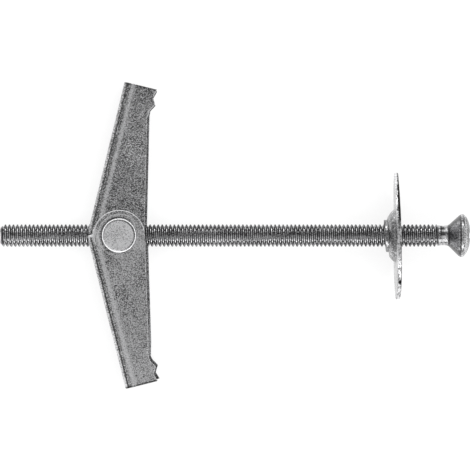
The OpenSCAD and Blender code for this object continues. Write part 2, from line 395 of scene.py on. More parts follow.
def head_rings():
    """Rings as (place, radius), from the run-out over neck, cone and land to the raised face."""
    cone_x, cone_r = CONE_X + 0.2, NECK_R + 0.32
    rings = [(RUN_OUT_X + 0.12 * k, NECK_R) for k in range(9)]
    rings += arc_between((CONE_X - 0.55, NECK_R), (CONE_X - 0.12, NECK_R), (cone_x, cone_r), 6)
    rings += [(cone_x + 0.2 * k, cone_r + 0.19 * k) for k in range(1, 9)]
    rings += arc_between((HEAD_X - 0.12, HEAD_R - 0.12), (HEAD_X, HEAD_R), (HEAD_X + 0.14, HEAD_R), 4)
    rings += [(LAND_X - 0.08, HEAD_R)]
    for k in range(8):
        radius = LENS_EDGE_R * cos(radians(4 + 32.2 * k / 8))
        rings.append((lens_x(radius), radius))
    rings.append((lens_x(FACE_R), FACE_R))
    return rings


def cross_cutter():
    """The tapered cross that the driver fits, with a small drilled point."""
    rings = []
    for rise, reach, half in ((0.0, 0.95, 0.36), (1.55, 1.75, 0.47), (3.15, 2.62, 0.58)):
        arm = [
            (half * 1.7, half), (reach - half * 0.4, half), (reach - half * 0.1, half * 0.72),
            (reach, half * 0.25), (reach, -half * 0.25), (reach - half * 0.1, -half * 0.72),
            (reach - half * 0.4, -half), (half * 1.7, -half), (half * 1.22, -half * 1.22),
        ]
        for turn in range(4):
            a = pi / 2 * turn
            for u, v in arm:
                y = u * cos(a) + v * sin(a)
                z = -u * sin(a) + v * cos(a)
                rings.append((CROSS_X + rise, y, z))
    count = len(arm) * 4
    points = [(CROSS_X - 0.25, 0.0, 0.0)] + rings + [(CROSS_X + rise, 0.0, 0.0)]
    faces = grid_faces(3, count, False, 1)
    for j in range(count):
        k = (j + 1) % count
        faces.append((0, 1 + k, 1 + j))
        faces.append((len(points) - 1, 1 + 2 * count + j, 1 + 2 * count + k))
    return placed("cross_cutter", new_mesh("cross_cutter", points, faces))


def face_with_cross():
    """The middle of the raised face with the recess cut in and its rim rounded, as a bmesh."""
    back = CONE_X + 0.6
    profile = [(back, 0.0), (back, FACE_R)]
    profile += [(lens_x(r), r) for r in (FACE_R, 2.8, 2.6, 2.3, 2.0, 1.7, 1.4, 1.1, 0.8, 0.5, 0.25, 0.0)]
    cap = placed("cap", new_mesh("cap", *turned(profile, SCREW_COLUMNS)))
    cut(cap, cross_cutter())
    shape = bmesh.new()
    shape.from_mesh(cap.data)
    bpy.data.objects.remove(cap)
    hidden = []
    for face in shape.faces:
        middle = face.calc_center_median()
        on_side = hypot(middle.y, middle.z) > FACE_R * 0.985 and abs(face.normal.x) < 0.05
        if middle.x < back + 0.1 or on_side:
            hidden.append(face)
    bmesh.ops.delete(shape, geom=hidden, context="FACES")
    rim = []
    for edge in shape.edges:
        if len(edge.link_faces) == 2 and edge.calc_face_angle(0) > radians(35):
            top = max(f.normal.x for f in edge.link_faces)
            if top > 0.8 and min(v.co.x for v in edge.verts) > LAND_X + 0.4:
                rim.append(edge)
    bmesh.ops.bevel(shape, geom=rim, offset=0.06, segments=2, affect="EDGES", profile=0.5)
    return shape


def thread_painted_light(radius, across):
    """Painted light and shade on the thread, by radius and by the angle round it from its top line."""
    crest = smoothstep(THREAD_R - 0.05, THREAD_R - 0.01, radius)
    flank = smoothstep(THREAD_R - 0.37, THREAD_R - 0.27, radius) * (1 - crest)
    shaded = plateau(np.abs(across), 36, 48, 76, 88)
    clear = plateau(np.abs(across), 50, 66, 100, 116)
    # Painted light on the screw's sides, and painted shade on the crests where they turn away
    tone = 0.06 + 0.15 * clear * (1 - crest) - crest * (0.04 + 0.26 * shaded)
    # Painted shade on the flanks, less on the sides
    tone -= (0.32 - 0.3 * clear) * flank
    # A painted highlight stripe just under the top line, and painted shade on the valleys above it
    tone += (1 - flank) * 0.12 * hump(across, -13, 8) - 0.14 * hump(across, 34, 9) * (1 - crest)
    return tone


def screw_tone_and_painted_light(points):
    """Painted light, shade and random tone: along the screw by place, round it by degrees from its top
    line.
    """
    place, y, z = points.T
    across = np.degrees(np.arctan2(y, z))
    past_thread = place - RUN_OUT_X
    past_cone = place - CONE_X
    past_land = place - LAND_X
    tone = thread_painted_light(np.hypot(y, z), across)
    tone *= smoothstep(0.0, -0.5, past_thread)
    # Neck: one painted highlight streak between painted dark reflections
    tone += 0.3 * hump(past_thread, 0.8, 0.45) * hump(across, -8, 14)
    tone -= 0.35 * hump(past_thread, 0.26, 0.13) * smoothstep(-20, 20, across)
    tone -= 0.45 * hump(past_thread, 0.6, 0.34) * (hump(across, 7, 7) + hump(across, 48, 13))
    # Cone: painted shade at its foot, on its sides and under its rim
    tone -= 0.35 * hump(past_cone, 0.0, 0.14)
    cone = plateau(past_cone, 0.0, 0.4, 1.95, 2.05)
    sides = plateau(np.abs(across), 36, 58, 100, 130)
    tone += cone * (0.06 - 0.3 * sides)
    tone -= 0.6 * hump(past_cone, 2.02, 0.08) * hump(across, 0, 62)
    # Land: a painted highlight but for two spots, and painted shade where the raised face starts
    tone += 0.1 * hump(past_land, -0.13, 0.1) * (1 - hump(across, 50, 22)) * (1 - hump(across, -45, 14))
    tone -= 0.4 * hump(past_land, 0.16, 0.09) * hump(across, 48, 17)
    tone -= 0.35 * hump(past_land, 0.6, 0.12) * hump(across, 56, 12)
    # Raised face: mottled, with a painted light band near the land and painted shade towards the middle
    tone += smoothstep(0.05, 0.2, past_land) * (0.1 * waver(points, 0.32, 25) - 0.02)
    tone += 0.07 * hump(past_land, 0.35, 0.2) - 0.2 * smoothstep(0.6, 1.0, past_land)
    tone += 0.04 * waver(points * [0.5, 1, 1], 1.5, 5)
    return tone


def make_screw():
    points, faces = joined([thread_mesh_parts(), turned(head_rings(), SCREW_COLUMNS)])
    # The flat at the tip
    tip_centre = len(points)
    points.append([TIP_X, 0.0, 0.0])
    for j in range(SCREW_COLUMNS):
        faces.append((tip_centre, (j + 1) % SCREW_COLUMNS, j))
    screw = placed("screw_detail", new_mesh("screw_detail", points, faces))
    shape = face_with_cross()
    shape.from_mesh(screw.data)
    bmesh.ops.remove_doubles(shape, verts=shape.verts, dist=0.0008)
    shape.to_mesh(screw.data)
    shape.free()
    points = points_of(screw.data)
    x, y, z = points.T
    # The upset head isn't quite square to the shank
    x += 0.024 * y * smoothstep(CONE_X - 0.4, CONE_X + 1.6, x)
    # The neck is left with a few shallow tool marks
    neck = plateau(x - RUN_OUT_X, -0.05, 0.2, 1.1, 1.7)
    dent = 1 - neck * (0.012 + 0.022 * waver(points, 0.55, 21))
    y *= dent
    z *= dent
    set_points(screw.data, points)
    paint(screw.data, screw_tone_and_painted_light(points))
    dress(screw, "screw", [thread_zinc, head_zinc], ["screw"])
    for face in screw.data.polygons:
        face.material_index = int((LAID.inverted() @ face.center).x > RUN_OUT_X)


make_screw()


# -------- cup washer

# Angles round the washer are in degrees from the rear wing's side towards the viewer
SPOT_AT = 136.5
LIP_FOOT_X = LIP_LEN - CUP_DEPTH


def washer_profile():
    """The cut through one side, as (place, radius): the ring, the mouth, the hole, lip and cup."""
    slope = tan(radians(45))
    inside_r = CUP_R - WASHER_T / cos(radians(45)) + 0.25
    mouth_r = inside_r + WASHER_T * slope
    bottom = (HOLE_R - inside_r) / slope
    back = -CUP_DEPTH
    foot, foot_r = LIP_FOOT_X, LIP_R + 0.3
    profile = []
    profile += arc_between((0.0, WASHER_R - 0.1), (0.0, WASHER_R), (0.1, WASHER_R), 3)
    profile += [(0.1 + 0.05 * k, WASHER_R) for k in range(1, 9)]
    profile += arc_between((0.54, WASHER_R), (WASHER_T, WASHER_R), (WASHER_T, WASHER_R - 0.2), 5)
    profile += [(WASHER_T, 10.2 - 0.8 * k) for k in range(7)]
    profile += arc_between(
        (WASHER_T, mouth_r + 0.5), (WASHER_T, mouth_r), (WASHER_T - 0.35, mouth_r - 0.35), 6)
    profile += arc_between((bottom + 0.15, HOLE_R + 0.15), (bottom, HOLE_R), (bottom - 0.15, HOLE_R), 3)
    profile += arc_between((0.1 + back, HOLE_R), (back, HOLE_R), (back, HOLE_R + 0.15), 3)
    profile += arc_between((back, LIP_R - 0.25), (back, LIP_R), (0.2 + back, LIP_R), 4)
    profile += arc_between((foot - 0.12, LIP_R), (foot, LIP_R), (foot + 0.04, LIP_R + 0.2), 4)
    # The cup's outside bulges from the lip's foot to the ring
    chord = hypot(CUP_R - foot_r, foot)
    along = (-foot / chord, (CUP_R - foot_r) / chord)
    for k in range(1, 11):
        t = k / 11
        bulge = 0.22 * 4 * t * (1 - t)
        place = foot * (1 - t) - along[1] * bulge
        profile.append((place, foot_r + t * (CUP_R - foot_r) + along[0] * bulge))
    profile += arc_between((-0.05, CUP_R - 0.03), (0.0, CUP_R + 0.03), (0.0, CUP_R + 0.3), 4)
    profile += [(0.0, 5.6 + 0.8 * k) for k in range(7)]
    return profile


def make_washer():
    """The pressed disc, its cup and the lip around its hole, with a warp and a torn edge."""
    points, faces = turned(washer_profile(), 360, closed=True)
    points = np.array(points)
    x, y, z = points.T
    radius = np.hypot(y, z)
    inward = WASHER_R - radius
    angle = np.arctan2(z, y)
    # A stamped disc isn't quite flat, and its sheared edge isn't quite even
    warp = -0.06 * np.sin(2 * angle) - 0.1 * np.cos(angle) ** 2 + 0.012 * np.sin(5 * angle + 1.9)
    x += smoothstep(5.0, 0.0, inward) * warp
    lip = smoothstep(LIP_R + 0.8, LIP_R + 0.2, radius) * smoothstep(0.6, 0.1, x - LIP_FOOT_X)
    x += lip * (0.05 - 0.054 * y)
    rough = waver(points * [0.6, 1, 1], 0.45, 3) * 0.03
    x += rough * smoothstep(0.6, 0.0, inward)
    torn_depth = 0.03 * (1 + waver(points, 0.25, 31)) * smoothstep(0.07, 0.03, inward)
    kept = 1 - torn_depth * torn_share(points) / radius
    y *= kept
    z *= kept
    washer = placed("washer_detail", new_mesh("washer_detail", points, faces))
    points = points_of(washer.data)
    paint(washer.data, washer_tone_and_painted_light(points))
    dark_spots = torn_spots(points)
    # The loose washer leans by its play on the thread
    lean = Matrix.Rotation(radians(0.85), 4, "Z") @ Matrix.Rotation(radians(0.45), 4, "Y")
    washer.data.transform(Matrix.Translation((WASHER_X - 0.12, -0.07, 0.02)) @ lean)
    dress(washer, "washer", [washer_zinc, torn_steel], ["cup_washer"], 50)
    for face in washer.data.polygons:
        face.material_index = int(all(dark_spots[i] for i in face.vertices))


def torn_share(points):
    """How much of the sheared edge's thickness is torn, from 0 in its smooth band to 1."""
    border = 0.28 + 0.12 * waver(points * [0, 1, 1], 0.7, 4) + 0.1 * waver(points * [0, 1, 1], 0.25, 14)
    return smoothstep(-0.05, 0.05, points[:, 0] - border)


def torn_spots(points):
    """True where the sheared edge is torn and dark: a long run, and one small spot."""
    place, y, z = points.T
    angle = np.degrees(np.arctan2(z, y))
    run = plateau(angle, 32, 42, 70, 80) + hump(angle, -70, 40)
    border = 0.08 + 0.34 * waver(points, 0.25, 19) + 0.3 * (1 - run)
    spot = hump(angle, SPOT_AT, 2.2) * smoothstep(0.12, 0.3, place)
    return (np.hypot(y, z) > WASHER_R - 0.12) & ((place > border) & (run > 0.3) | (spot > 0.5))


def washer_tone_and_painted_light(points):
    """The cup is darker than the ring, light and shade are painted, and the sheared edge is torn dark in
    places.
    """
    place, y, z = points.T
    radius = np.hypot(y, z)
    angle = np.degrees(np.arctan2(z, y))
    tone = -0.1 * smoothstep(0.55, -0.25, radius - CUP_R) + 0.05 * waver(points, 1.6, 11)
    cup = plateau(radius, LIP_R + 0.25, LIP_R + 0.4, CUP_R - 0.15, CUP_R + 0.05)
    tone += 0.12 * cup * waver(np.stack([radius, angle * 0.02, 0 * angle], axis=1), 0.12, 27)
    # The cup is painted lighter on the side towards the rear wing
    tone += 0.08 * cup * hump(angle, 20, 30)
    # The lip's foot gets painted shade, its side two painted glints, and its end a painted dark line
    past_lip = place - LIP_FOOT_X
    tone -= 0.45 * hump(radius, LIP_R + 0.25, 0.14) * (past_lip < 0.4)
    lip = (radius < LIP_R + 0.1) * smoothstep(0.0, -0.1, past_lip)
    tone += lip * (0.3 * hump(angle, 52, 16) + 0.2 * hump(angle, 118, 9)) * hump(past_lip, -0.3, 0.2)
    tone -= 0.35 * lip * hump(past_lip, -0.58, 0.06)
    # The sheared edge is dark where it is torn and mottled elsewhere
    edge = smoothstep(0.3, 0.22, WASHER_R - radius)
    dark = plateau(angle, -10, 12, 66, 88) + hump(angle, -70, 40)
    torn = torn_share(points)
    tone += edge * dark * (0.16 - 0.5 * torn + 0.3 * waver(points, 0.3, 19) * (1 - torn))
    mottle = 0.4 * waver(points, 0.3, 9) + 0.06 - 0.25 * smoothstep(0.54, 0.62, place)
    tone += edge * (1 - dark) * mottle
    # A painted highlight along the edge's outer corner where it faces the viewer
    tone += 0.35 * edge * hump(angle, 86, 9) * smoothstep(0.56, 0.6, place)
    tone -= 0.2 * edge * (1 - dark) * smoothstep(0.12, 0.0, place) * smoothstep(115, 125, angle)
    tone -= 0.9 * edge * hump(angle, SPOT_AT, 2.2) * smoothstep(0.12, 0.3, place)
    return tone


make_washer()


# -------- wings

# RIM is the width of the rounded cut edge, and TIP_S is how far the tip is from the pivot
RIM = 0.15
TIP_S = WING_LEN + 0.15
HOLE_PLAY = 0.09
EDGE_STEP = 0.22
FULL_TURN = np.linspace(0, 2 * pi, 84, endpoint=False)
FOLD_R = 0.75
INNER_FOLD_R = 0.5
MID_R = FOLD_R + SHEET_T / 2
WEB_HALF = CHANNEL_W / 2 - FOLD_R
FOLD_LEN = MID_R * pi / 2
FLANGE_U = WEB_HALF + FOLD_LEN
WEB_START = (STOP_GAP - WEB_NEAR * sin(WING_LEAN)) / cos(WING_LEAN)
NOTCH_END = (NOTCH_W / 2 - WEB_NEAR * sin(WING_LEAN)) / cos(WING_LEAN)


def unfolded(n, side):
    """Where a point of a flange's side view lies on the flat sheet, before it is folded."""
    past = -WEB_NEAR + FOLD_R - n
    if past <= 0:
        return side * (FLANGE_U - past)
    return side * (FLANGE_U - MID_R * asin(min(1.0, past / MID_R)))


def straight(a, b, least=1):
    """Points from a to b, in short steps, without a itself."""
    steps = max(least, int(dist(a, b) / EDGE_STEP))
    points = []
    for i in range(1, steps + 1):
        t = i / steps
        points.append((a[0] + (b[0] - a[0]) * t, a[1] + (b[1] - a[1]) * t))
    return points


def flange_outline(side):
    """One flange's edge on the flat sheet, from the web's start round to the tip."""
    edge = []
    start = degrees(atan2(WEB_START, -sqrt(END_R ** 2 - WEB_START ** 2))) + 360
    end = 360 + degrees(EDGE_TAPER)
    steps = 64
    for i in range(steps + 1):
        a = radians(start + (end - start) * i / steps)
        edge.append((END_R * cos(a), END_R * sin(a)))
    tooth_y = WING_LEN - 1.5 * TOOTH_PITCH
    edge_end_y = tooth_y - TOOTH_PITCH / 4
    corners = [
        edge[-1],
        (END_R / cos(EDGE_TAPER) - edge_end_y * tan(EDGE_TAPER), edge_end_y),
        (-ROOT_BACK, tooth_y),
        (TOOTH_H - ROOT_BACK, tooth_y + TOOTH_PITCH / 2),
        (-ROOT_BACK, tooth_y + TOOTH_PITCH),
        (TOOTH_H * END_TOOTH_SHARE - ROOT_BACK + 0.09, TIP_S),
    ]
    for a, b in zip(corners, corners[1:]):
        edge += straight(a, b, 2)
    return [(unfolded(n, side), s) for n, s in edge]


def flat_outline():
    """The whole blank: one flange, across the tip, the other flange, and the notch in the web."""
    right = flange_outline(1)
    left = flange_outline(-1)
    loop = list(right)
    tip_right, tip_left = right[-1][0], left[-1][0]
    count = 90
    for i in range(1, count):
        loop.append((tip_right + (tip_left - tip_right) * i / count, TIP_S))
    loop += left[::-1]
    middle = FLANGE_STEP / 2
    notch_r = NOTCH_W / 2
    loop += straight(loop[-1], (middle - notch_r, WEB_START))
    for i in range(1, 40):
        a = pi - pi * i / 40
        loop.append((middle + notch_r * cos(a), NOTCH_END - notch_r + notch_r * sin(a)))
    loop += straight((middle + notch_r, WEB_START), right[0])[:-1]
    return loop


def clean_loop(loop, least=0.03):
    """The loop without points that all but double the one before."""
    kept = []
    for p in loop:
        if not kept or dist(p, kept[-1]) > least:
            kept.append(p)
    if dist(kept[0], kept[-1]) < least:
        kept.pop()
    return kept


def moved_in(loop, distance):
    """The loop moved sideways into the sheet, which lies on its left."""
    count = len(loop)
    moved = []
    for i in range(count):
        before = Vector(loop[i - 1])
        here = Vector(loop[i])
        after = Vector(loop[(i + 1) % count])
        a = (here - before).normalized()
        b = (after - here).normalized()
        left = Vector((-a.y - b.y, a.x + b.x))
        if left.length < 1e-6:
            left = Vector((-a.y, a.x))
        left.normalize()
        facing = max(0.5, left.dot(Vector((-a.y, a.x))))
        moved.append(tuple(here + left * distance / facing))
    return moved


def inside(loop, points):
    """True for each point that the loop goes round."""
    x, y = points[:, :2].T
    result = np.zeros(len(points), bool)
    for (x0, y0), (x1, y1) in zip(loop, loop[1:] + loop[:1]):
        crosses = (y0 > y) != (y1 > y)
        slope = (x1 - x0) / (y1 - y0) if y1 != y0 else 0.0
        result ^= crosses & (x < x0 + slope * (y - y0))
    return result


def in_sheet(edges, points):
    """True for each point within the outline and clear of the holes."""
    keep = inside(edges[0], points)
    for hole in edges[1:]:
        keep &= ~inside(hole, points)
    return keep


def sheet_grid(loops):
    """Triangles over the blank, with rings of points round the pivots and rows along the folds."""
    edges = [moved_in(loop, RIM) for loop in loops]
    spots = []
    pivots = [unfolded(0.0, side) for side in (1, -1)]
    for pivot_u in pivots:
        for radius in np.arange(JOURNAL_R + 0.28, 4.3, 0.13):
            for a in FULL_TURN:
                spots.append((pivot_u + radius * cos(a), radius * sin(a)))
    fold_rows = np.linspace(WEB_HALF - 0.1, FLANGE_U + 0.9, 22)
    web_rows = np.linspace(0, WEB_HALF - 0.25, 10)
    flange_rows = np.arange(FLANGE_U + 1.15, FLANGE_U + 9.5, 0.3)
    rows = np.concatenate([web_rows, fold_rows, flange_rows])
    rows = np.unique(np.round(np.concatenate([rows, -rows]), 4))
    for s in np.arange(-4.2, WING_LEN, 0.32):
        for u in rows:
            if min(hypot(u - pivot_u, s) for pivot_u in pivots) > END_R:
                spots.append((u, s))
    spots = np.array(spots)
    spots = spots[in_sheet(edges, spots)]
    border = np.array([p for edge in edges for p in edge])
    gap = np.full(len(spots), 9.0)
    for p in border:
        gap = np.minimum(gap, np.hypot(*(spots - p).T))
    spots = spots[gap > 0.1]
    points = [Vector(p) for p in border] + [Vector(p) for p in spots]
    links = []
    first = 0
    for edge in edges:
        count = len(edge)
        links += [(first + i, first + (i + 1) % count) for i in range(count)]
        first += count
    verts, _, faces, origins, _, _ = geometry.delaunay_2d_cdt(points, links, [], 1, 1e-6)
    centres = np.array([sum((verts[i] for i in f), Vector((0, 0))) / 3 for f in faces])
    kept = zip(faces, in_sheet(edges, centres))
    triangles = [tuple(origins[i][0] for i in f) for f, good in kept if good]
    return np.array([tuple(p) for p in points]), triangles, [len(edge) for edge in edges]


def folded(u, s, h):
    """Folds points of the flat sheet: h is the height over its middle, positive outside."""
    side = np.sign(u)
    side[side == 0] = 1.0
    reach = np.abs(u)
    angle = np.clip((reach - WEB_HALF) / MID_R, 0, pi / 2)
    past = np.maximum(reach - FLANGE_U, 0)
    in_web = np.minimum(reach, WEB_HALF)
    # The flange sinks a little towards its fold, as a pressed channel does
    inner = 0.5 - h / SHEET_T
    sink = 0.05 * (1 - smoothstep(0.0, 0.75, past)) * smoothstep(0.6, pi / 2, angle) * (1 - inner)
    n = -WEB_NEAR + FOLD_R - (MID_R + h) * np.cos(angle) + past
    z = in_web + (MID_R + h) * np.sin(angle) - sink
    # The bend is tighter inside, where the sheet thins
    tight = np.where((angle > 0) & (past <= 0), INNER_FOLD_R / FOLD_R, 1.0)
    tight = 1 + (tight - 1) * inner
    n = -WEB_NEAR + (n + WEB_NEAR) * tight
    z = CHANNEL_W / 2 + (z - CHANNEL_W / 2) * tight
    return np.stack([n, s, side * z], axis=1)


def band(previous, current):
    """Quads that join two rings of points."""
    count = len(current)
    return [
        (previous[i], previous[(i + 1) % count], current[(i + 1) % count], current[i])
        for i in range(count)
    ]


def wing_mesh():
    """The folded stamping: two faces, joined round the outline and the holes by rounded edges."""
    loops = [clean_loop(flat_outline())]
    hole_r = JOURNAL_R + HOLE_PLAY
    for side in (1, -1):
        pivot_u = unfolded(0.0, side)
        loops.append([(pivot_u + hole_r * cos(a), -hole_r * sin(a)) for a in FULL_TURN])
    flat, triangles, counts = sheet_grid(loops)
    half = SHEET_T / 2
    count = len(flat)
    u, s = flat.T
    spots = np.stack([u, s, np.zeros(count)], axis=1)
    dents = 0.012 * waver(spots, 3.2, 1) + 0.006 * waver(spots, 1.1, 2)
    # Staking the nut's heads pressed two shallow rings round each hole
    ring = np.zeros(count)
    for side in (1, -1):
        away = np.hypot(u - unfolded(0.0, side), s)
        ring -= 0.022 * hump(away, 3.45, 0.09) + 0.014 * hump(away, 3.75, 0.08)
    points = [
        folded(u, s, np.full(count, half) + dents + ring),
        folded(u, s, np.full(count, -half) + dents),
    ]
    faces = list(triangles)
    faces += [tuple(count + i for i in tri[::-1]) for tri in triangles]
    # Rings of the cut edge, as (distance in from the outline, height over the sheet's middle)
    levels = [
        (0.08, half - 0.02), (0.035, half - 0.055), (0.01, half - 0.1), (0.0, half - 0.16),
        (0.0, 0.0), (0.0, 0.05 - half), (0.02, 0.012 - half),
    ]
    first = 0
    total = 2 * count
    for loop, loop_count in zip(loops, counts):
        previous = range(first, first + loop_count)
        for inset, height in levels:
            edge = np.array(moved_in(loop, inset) if inset else loop)
            points.append(folded(*edge.T, np.full(loop_count, height)))
            current = range(total, total + loop_count)
            total += loop_count
            faces += band(previous, current)
            previous = current
        faces += band(previous, range(count + first, count + first + loop_count))
        first += loop_count
    return new_mesh("wing", np.concatenate(points), faces)


def wing_tone_and_painted_light(points, up):
    """Painted light and shade beside the folds, round the pivot and at the tip. up is -1 for the front
    wing.
    """
    n, s, z = points.T
    outer = smoothstep(-0.6, -0.2, np.abs(z) - CHANNEL_W / 2)
    past_web = n + WEB_NEAR
    # Beside each fold, on the flanges: a painted highlight band and two painted shade lines
    painted_fold_shade = (0.25 - 0.06 * up) * hump(past_web, -0.11, 0.11)
    tone = (0.14 * hump(past_web, 0.91, 0.4) - 0.06 * hump(past_web, 0.35, 0.25) - painted_fold_shade) * outer
    # Round the pivot: painted light and shade rings and a painted shadow ring by the nut's head, stronger
    # on one side
    away = np.hypot(n - STAKE_OFF_X, s)
    light_side_weight = 0.55 + 0.45 * (up * s - n) / np.maximum(away, 1)
    rings = 0.13 * hump(away, 3.62, 0.09) - 0.13 * hump(away, 3.84, 0.06)
    rings -= 0.14 * hump(away, 4.14, 0.08) + 0.14 * hump(away, 3.1, 0.13)
    # A painted highlight along the round end's edge
    end_highlight = 0.32 * hump(away, END_R - 0.1, 0.065) * (s < 0.5)
    tone += (rings * light_side_weight + end_highlight) * outer
    # Painted shade along the tip's edge, more on the front wing
    tone -= (0.2 - 0.1 * up) * smoothstep(WING_LEN - 0.08, WING_LEN + 0.04, s)
    tone += 0.03 * waver(points, 4.0, 8)
    return tone


def make_wings():
    """Both wings from one stamping, each with its own small faults, and opened to their stops."""
    mesh = wing_mesh()
    rear = placed("rear_wing_detail", mesh)
    front = placed("front_wing_detail", mesh.copy())
    local = points_of(mesh)
    n, s, z = local.T
    from_tip = WING_LEN - s
    past_web = n + WEB_NEAR
    tooth_area = smoothstep(-1.6, -1.2, n) * (from_tip < 4.1)
    # The rear wing has a rubbed patch and is a shade darker overall, painted shade. Its far teeth get a
    # painted highlight on their faces and painted shade on their cut edge
    patch = np.exp(-((n + 0.95) ** 2 + ((s - 15) / 1.4) ** 2) / 1.6) * (z > 0)
    cut_edge = (np.abs(z) > CHANNEL_W / 2 + 0.0115) * (np.abs(z) < CHANNEL_W / 2 + 0.7)
    rear_tone = wing_tone_and_painted_light(local, 1) + 0.03 * patch - 0.03
    paint(rear.data, rear_tone + tooth_area * (z < -3.4) * (0.6 - 1.2 * cut_edge))
    paint(rear.data, 0.2 + 1.5 * patch, "scuff")
    # The front wing is a shade lighter overall, painted light, and the end of its web has a near-white
    # line
    web_end = smoothstep(WEB_START + 0.2, WEB_START + 0.1, s)
    front_tone = wing_tone_and_painted_light(local, -1) + 0.03 + 0.9 * web_end * (past_web < 0.45)
    # The front wing's far teeth get painted shade
    paint(front.data, front_tone - 0.1 * tooth_area * (z > 3.4))
    paint(front.data, 0.15 - 0.48 * hump(s, 10.0, 6.0), "scuff")
    # Where the webs meet, the front one reaches a shade past the middle and the rear one stops short
    near_end = 0.17 * (1 - smoothstep(WEB_START + 0.1, WEB_START + 0.9, s)) * (past_web < 0.65)
    # The shears left each wing's two rows of teeth a shade apart, and the front free edge wider
    toothed = smoothstep(4.9, 4.3, from_tip) * smoothstep(-2.0, -1.0, n)
    corner = smoothstep(1.2, 0.2, from_tip) * smoothstep(-0.4, 0.1, n)
    cut_wide = local.copy()
    cut_wide[:, 0] += 0.12 * toothed * (z < 0)
    cut_wide[:, 1] -= 0.1 * corner * (z > 0)
    cut_wide[:, 0] += 0.12 * smoothstep(-1.5, 0.5, cut_wide[:, 0]) * smoothstep(3.8, 6.8, from_tip)
    cut_wide[:, 1] -= near_end
    set_points(front.data, cut_wide)
    far_toothed = toothed * smoothstep(3.9, 3.3, from_tip) * (z < 0)
    cut_short = local.copy()
    cut_short[:, 0] += 0.19 * toothed * (z > 0) - 0.17 * far_toothed
    cut_short[:, 1] += near_end + 0.08 * smoothstep(1.3, 0.0, from_tip) - 0.05 * far_toothed
    set_points(rear.data, cut_short)
    # Each wing sits askew by a little of its play on the journals
    open_at = Matrix.Rotation(-WING_LEAN, 4, "Z") @ Matrix.Translation((0, 0, -FLANGE_STEP / 2))
    rock = Matrix.Rotation(radians(0.45), 4, "Z") @ Matrix.Translation((-0.05, 0, 0))
    twist = Matrix.Translation((0.03, 0, 0)) @ Matrix.Rotation(radians(0.6), 4, "Y")
    rear.data.transform(rock @ open_at)
    front.data.transform(Matrix.Rotation(pi, 4, "X") @ open_at @ twist)
    dress(rear, "rear_wing", [sheet_zinc], ["rear_wing"])
    dress(front, "front_wing", [sheet_zinc], ["front_wing"])


make_wings()


# -------- trunnion nut

def nut_profile():
    """Half of the nut, as (height, radius): barrel, journal, staked head and dished face."""
    edge = BARREL_HALF - 0.12
    half = [(BARREL_HALF - 0.9, BARREL_R), (edge, BARREL_R)]
    half += arc_between((edge, BARREL_R), (BARREL_HALF, BARREL_R), (BARREL_HALF, BARREL_R - 0.12), 3)
    half += [(BARREL_HALF, JOURNAL_R + 0.05), (BARREL_HALF + 0.05, JOURNAL_R)]
    side_r = STAKE_R - 0.095
    half += [(JOURNAL_HALF, JOURNAL_R), (JOURNAL_HALF, side_r - 0.06)]
    half += arc_between(half[-1], (JOURNAL_HALF, side_r), (JOURNAL_HALF + 0.06, side_r), 2)
    # The side is chamfered in steps up to a low rim, and the face inside it is a shade dished
    half += [(NUT_HALF - 0.17, side_r), (NUT_HALF - 0.135, side_r - 0.01)]
    half += [(NUT_HALF - 0.115, side_r - 0.03)]
    rim = ((0.07, 0.01), (0.03, 0.11), (0.01, 0.14), (0, 0.16), (0.01, 0.2), (0.055, 0.28), (0.065, 0.35))
    half += [(NUT_HALF - down, STAKE_EDGE_R - inward) for down, inward in rim]
    dish = ((0.06, 2.2), (0.058, 1.8), (0.055, 1.3), (0.052, 0.8), (0.05, 0.3), (0.05, 0.0))
    half += [(NUT_HALF - down, radius) for down, radius in dish]
    return half


def make_nut():
    """Barrel, journals and staked heads, with a plain bore, in place of the tapped hole, through the
    barrel.
    """
    half = nut_profile()
    profile = [(-z, r) for z, r in half[::-1]] + [(0.0, BARREL_R)] + half
    nut = placed("nut_detail", new_mesh("nut_detail", *turned(profile, 128, about_pivot=True)))
    bore_profile = [(-6.0, 0.0), (-6.0, BORE_R), (6.0, BORE_R), (6.0, 0.0)]
    cut(nut, placed("bore", new_mesh("bore", *turned(bore_profile, 64))))
    # The heads were staked a shade off centre
    points = points_of(nut.data)
    x, y, z = points.T
    x += STAKE_OFF_X * smoothstep(JOURNAL_HALF - 0.05, JOURNAL_HALF, np.abs(z))
    set_points(nut.data, points)
    # Fine turning marks go round the barrel, and the foot of each face's low rim gets painted
    # shade, heavier on one side
    tone = 0.05 * waver(points * [0.2, 0.2, 1], 0.12, 51)
    on_face = np.abs(z) > NUT_HALF - 0.1
    away = np.hypot(x - STAKE_OFF_X, y)
    rim_foot_shade = 0.3 + 0.2 * (x + y) / np.maximum(away, 1)
    tone += on_face * (0.05 - rim_foot_shade * hump(away, STAKE_EDGE_R - 0.15, 0.12))
    paint(nut.data, tone)
    # The chamfer ring takes the near-white zinc, a painted highlight
    dress(nut, "nut", [disc_zinc, rim_highlight_zinc, nut_zinc], ["trunnion_nut"], 30)
    for face in nut.data.polygons:
        middle = LAID.inverted() @ face.center
        away = hypot(middle.x - STAKE_OFF_X, middle.y)
        on_head = abs(middle.z) >= JOURNAL_HALF + 0.14
        face.material_index = int(away > STAKE_EDGE_R) if on_head else 2


make_nut()


# -------- torsion spring

def wire(path, diameter, sides=14):
    """Points and faces of a round wire along a path, with softly rounded ends."""
    path = [Vector(p) for p in path]
    last = len(path) - 1
    up = Vector((0, 0, 1))
    points = []
    for i in range(last + 1):
        run = (path[min(i + 1, last)] - path[max(i - 1, 0)]).normalized()
        up = (up - run * up.dot(run)).normalized()
        across = run.cross(up)
        for k in range(sides):
            a = 2 * pi * k / sides
            points.append(tuple(path[i] + diameter / 2 * (cos(a) * up + sin(a) * across)))
    faces = grid_faces(last + 1, sides)
    for end in (0, last):
        inner = path[min(max(end, 1), last - 1)]
        tip = path[end] + (path[end] - inner).normalized() * 0.06
        points.append(tuple(tip))
        for k in range(sides):
            faces.append((len(points) - 1, end * sides + k, end * sides + (k + 1) % sides))
    return points, faces


